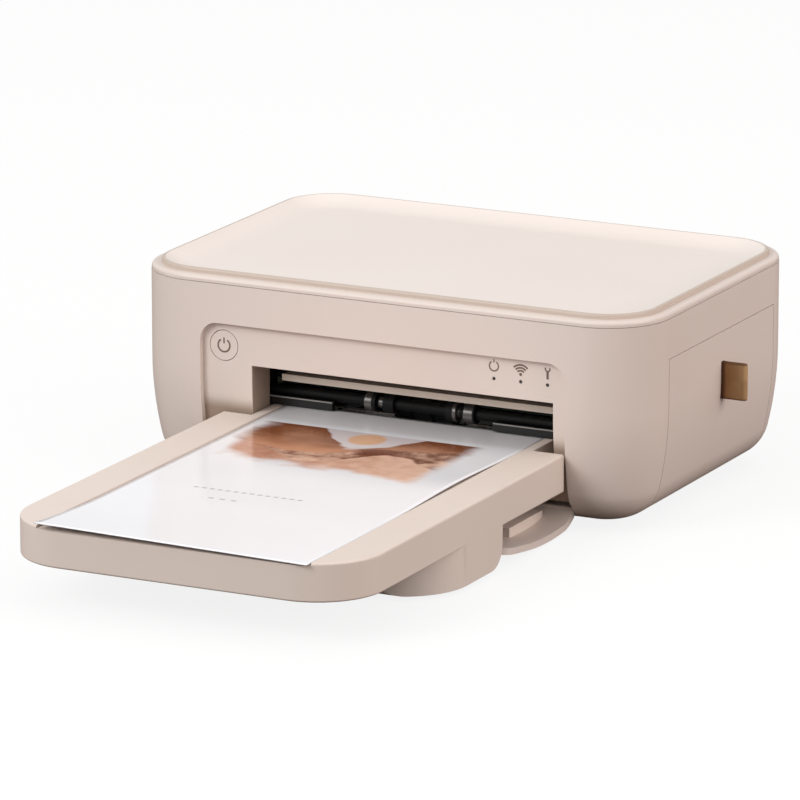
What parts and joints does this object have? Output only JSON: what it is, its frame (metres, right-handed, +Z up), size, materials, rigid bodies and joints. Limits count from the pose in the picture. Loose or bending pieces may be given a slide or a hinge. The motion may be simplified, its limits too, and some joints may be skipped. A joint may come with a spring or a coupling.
{
  "type": "compact photo printer",
  "caption": "Compact photo printer with a dished top, drop-down front cover, side ribbon door, roller and gear train, and a slide-in paper cassette under a finished print.",
  "frame": {"origin": "on the table, under the middle of the shell", "axes": "+X to the printer's right as seen from its front, +Y from the front to the back, +Z up"},
  "size_m": [0.2055, 0.296, 0.0779],
  "materials": {
    "shell_beige": "fine moulded texture",
    "cover_ivory": "fine moulded texture",
    "black_plastic": "fine matt",
    "rubber_black": "matt",
    "sheet_steel": "zinc plated",
    "bright_steel": "ground",
    "circuit_green": "solder mask",
    "lens_grey": "clear moulded",
    "gear_white": "moulded acetal",
    "pinion_brass": "cut",
    "heatsink_aluminium": "extruded",
    "head_ceramic": "glazed",
    "ribbon_film": "coated film",
    "tab_leather": "dyed, with burnished edges",
    "paper_white": "coated on the printed side"
  },
  "bodies": {
    "housing": {"main_shell": "shell_beige", "top_cover": "cover_ivory", "front_panel": "shell_beige", "rubber_feet": "rubber_black", "base_plate": "sheet_steel", "base_screws": "bright_steel", "left_chassis_plate": "sheet_steel", "right_chassis_plate": "sheet_steel", "shaft_bushes": "gear_white", "exit_guide": "black_plastic", "guide_bar": "shell_beige", "paper_guide": "black_plastic", "control_board": "circuit_green", "status_lenses": "lens_grey", "main_board": "circuit_green", "power_inlet": "black_plastic", "motor_bracket": "sheet_steel", "bracket_screws": "bright_steel", "feed_motor": "bright_steel", "head_pivot": "bright_steel", "ribbon_cartridge": "black_plastic", "ribbon_film": "ribbon_film", "door_hinge_pins": "bright_steel", "cover_hinge_pins": "bright_steel"},
    "button": {"power_button": "shell_beige"},
    "pinion": {"motor_pinion": "pinion_brass"},
    "idler": {"idler_gear": "gear_white"},
    "platen": {"platen_shaft": "bright_steel", "platen_roller": "rubber_black", "platen_gear": "gear_white"},
    "pickup": {"pickup_shaft": "bright_steel", "pickup_tyre": "rubber_black", "pickup_gear": "gear_white"},
    "exit": {"exit_shaft": "bright_steel", "exit_tyres": "rubber_black", "exit_gear": "gear_white"},
    "capstan": {"capstan_roller": "bright_steel", "capstan_gear": "gear_white"},
    "pinch": {"pinch_roller": "rubber_black"},
    "head": {"print_head": "head_ceramic", "head_heatsink": "heatsink_aluminium", "head_arm": "sheet_steel"},
    "takeup": {"takeup_spool": "ribbon_film", "takeup_gear": "gear_white"},
    "supply": {"supply_spool": "ribbon_film"},
    "door": {"side_door": "shell_beige", "pull_tab": "tab_leather"},
    "cover": {"front_cover": "shell_beige"},
    "cassette": {"cassette_tray": "shell_beige", "cassette_cover": "shell_beige", "lift_plate": "sheet_steel", "paper_stack": "paper_white", "photo_sheet": "paper_white"}
  },
  "joints": [
    {"name": "cassette_slide", "type": "slide", "parent": "housing", "child": "cassette", "axis": [0, -1, 0], "range_m": [0, 0.045]},
    {"name": "front_cover_hinge", "type": "hinge", "parent": "housing", "child": "cover", "pos_m": [0, -0.05729, 0.00679], "axis": [-1, 0, 0], "range_deg": [0, 8]},
    {"name": "side_door_hinge", "type": "hinge", "parent": "housing", "child": "door", "pos_m": [0.08829, 0.0006, 0.00679], "axis": [0, 1, 0], "range_deg": [0, 60]},
    {"name": "power_button_press", "type": "slide", "parent": "housing", "child": "button", "axis": [0, 1, 0], "range_m": [0, 0.0006], "stiffness_N_per_m": 300, "springref_m": -0.0006},
    {"name": "head_lift", "type": "hinge", "parent": "housing", "child": "head", "pos_m": [0.004, 0.03199, 0.0628], "axis": [-1, 0, 0], "range_deg": [0, 4]},
    {"name": "platen_spin", "type": "hinge", "parent": "housing", "child": "platen", "pos_m": [0.004, -0.008, 0.035], "axis": [1, 0, 0], "continuous": true},
    {"name": "pinion_spin", "type": "hinge", "parent": "housing", "child": "pinion", "pos_m": [0.004, 0.00203, 0.02305], "axis": [1, 0, 0], "continuous": true},
    {"name": "idler_spin", "type": "hinge", "parent": "housing", "child": "idler", "pos_m": [0.004, -0.02718, 0.03585], "axis": [1, 0, 0], "continuous": true},
    {"name": "pickup_spin", "type": "hinge", "parent": "housing", "child": "pickup", "pos_m": [0.004, -0.0375, 0.031], "axis": [1, 0, 0], "continuous": true},
    {"name": "exit_spin", "type": "hinge", "parent": "housing", "child": "exit", "pos_m": [0.004, -0.04597, 0.033], "axis": [1, 0, 0], "continuous": true},
    {"name": "capstan_spin", "type": "hinge", "parent": "housing", "child": "capstan", "pos_m": [0.004, 0.008, 0.03751], "axis": [1, 0, 0], "continuous": true},
    {"name": "pinch_spin", "type": "hinge", "parent": "housing", "child": "pinch", "pos_m": [0.004, 0.008, 0.04481], "axis": [1, 0, 0], "continuous": true},
    {"name": "takeup_spin", "type": "hinge", "parent": "housing", "child": "takeup", "pos_m": [0.004, -0.03201, 0.04877], "axis": [1, 0, 0], "continuous": true},
    {"name": "supply_spin", "type": "hinge", "parent": "housing", "child": "supply", "pos_m": [0.004, 0.02199, 0.04877], "axis": [1, 0, 0], "continuous": true}
  ],
  "couplings": [
    {"joint": "idler_spin", "follows": "platen_spin", "ratio": -1.6667},
    {"joint": "pickup_spin", "follows": "platen_spin", "ratio": 2.8571},
    {"joint": "exit_spin", "follows": "platen_spin", "ratio": -2.6667},
    {"joint": "takeup_spin", "follows": "platen_spin", "ratio": 1.8182},
    {"joint": "capstan_spin", "follows": "platen_spin", "ratio": -2.8571},
    {"joint": "pinion_spin", "follows": "platen_spin", "ratio": -3.3333},
    {"joint": "pinch_spin", "follows": "platen_spin", "ratio": 5.1429},
    {"joint": "supply_spin", "follows": "platen_spin", "ratio": 1.2587}
  ]
}
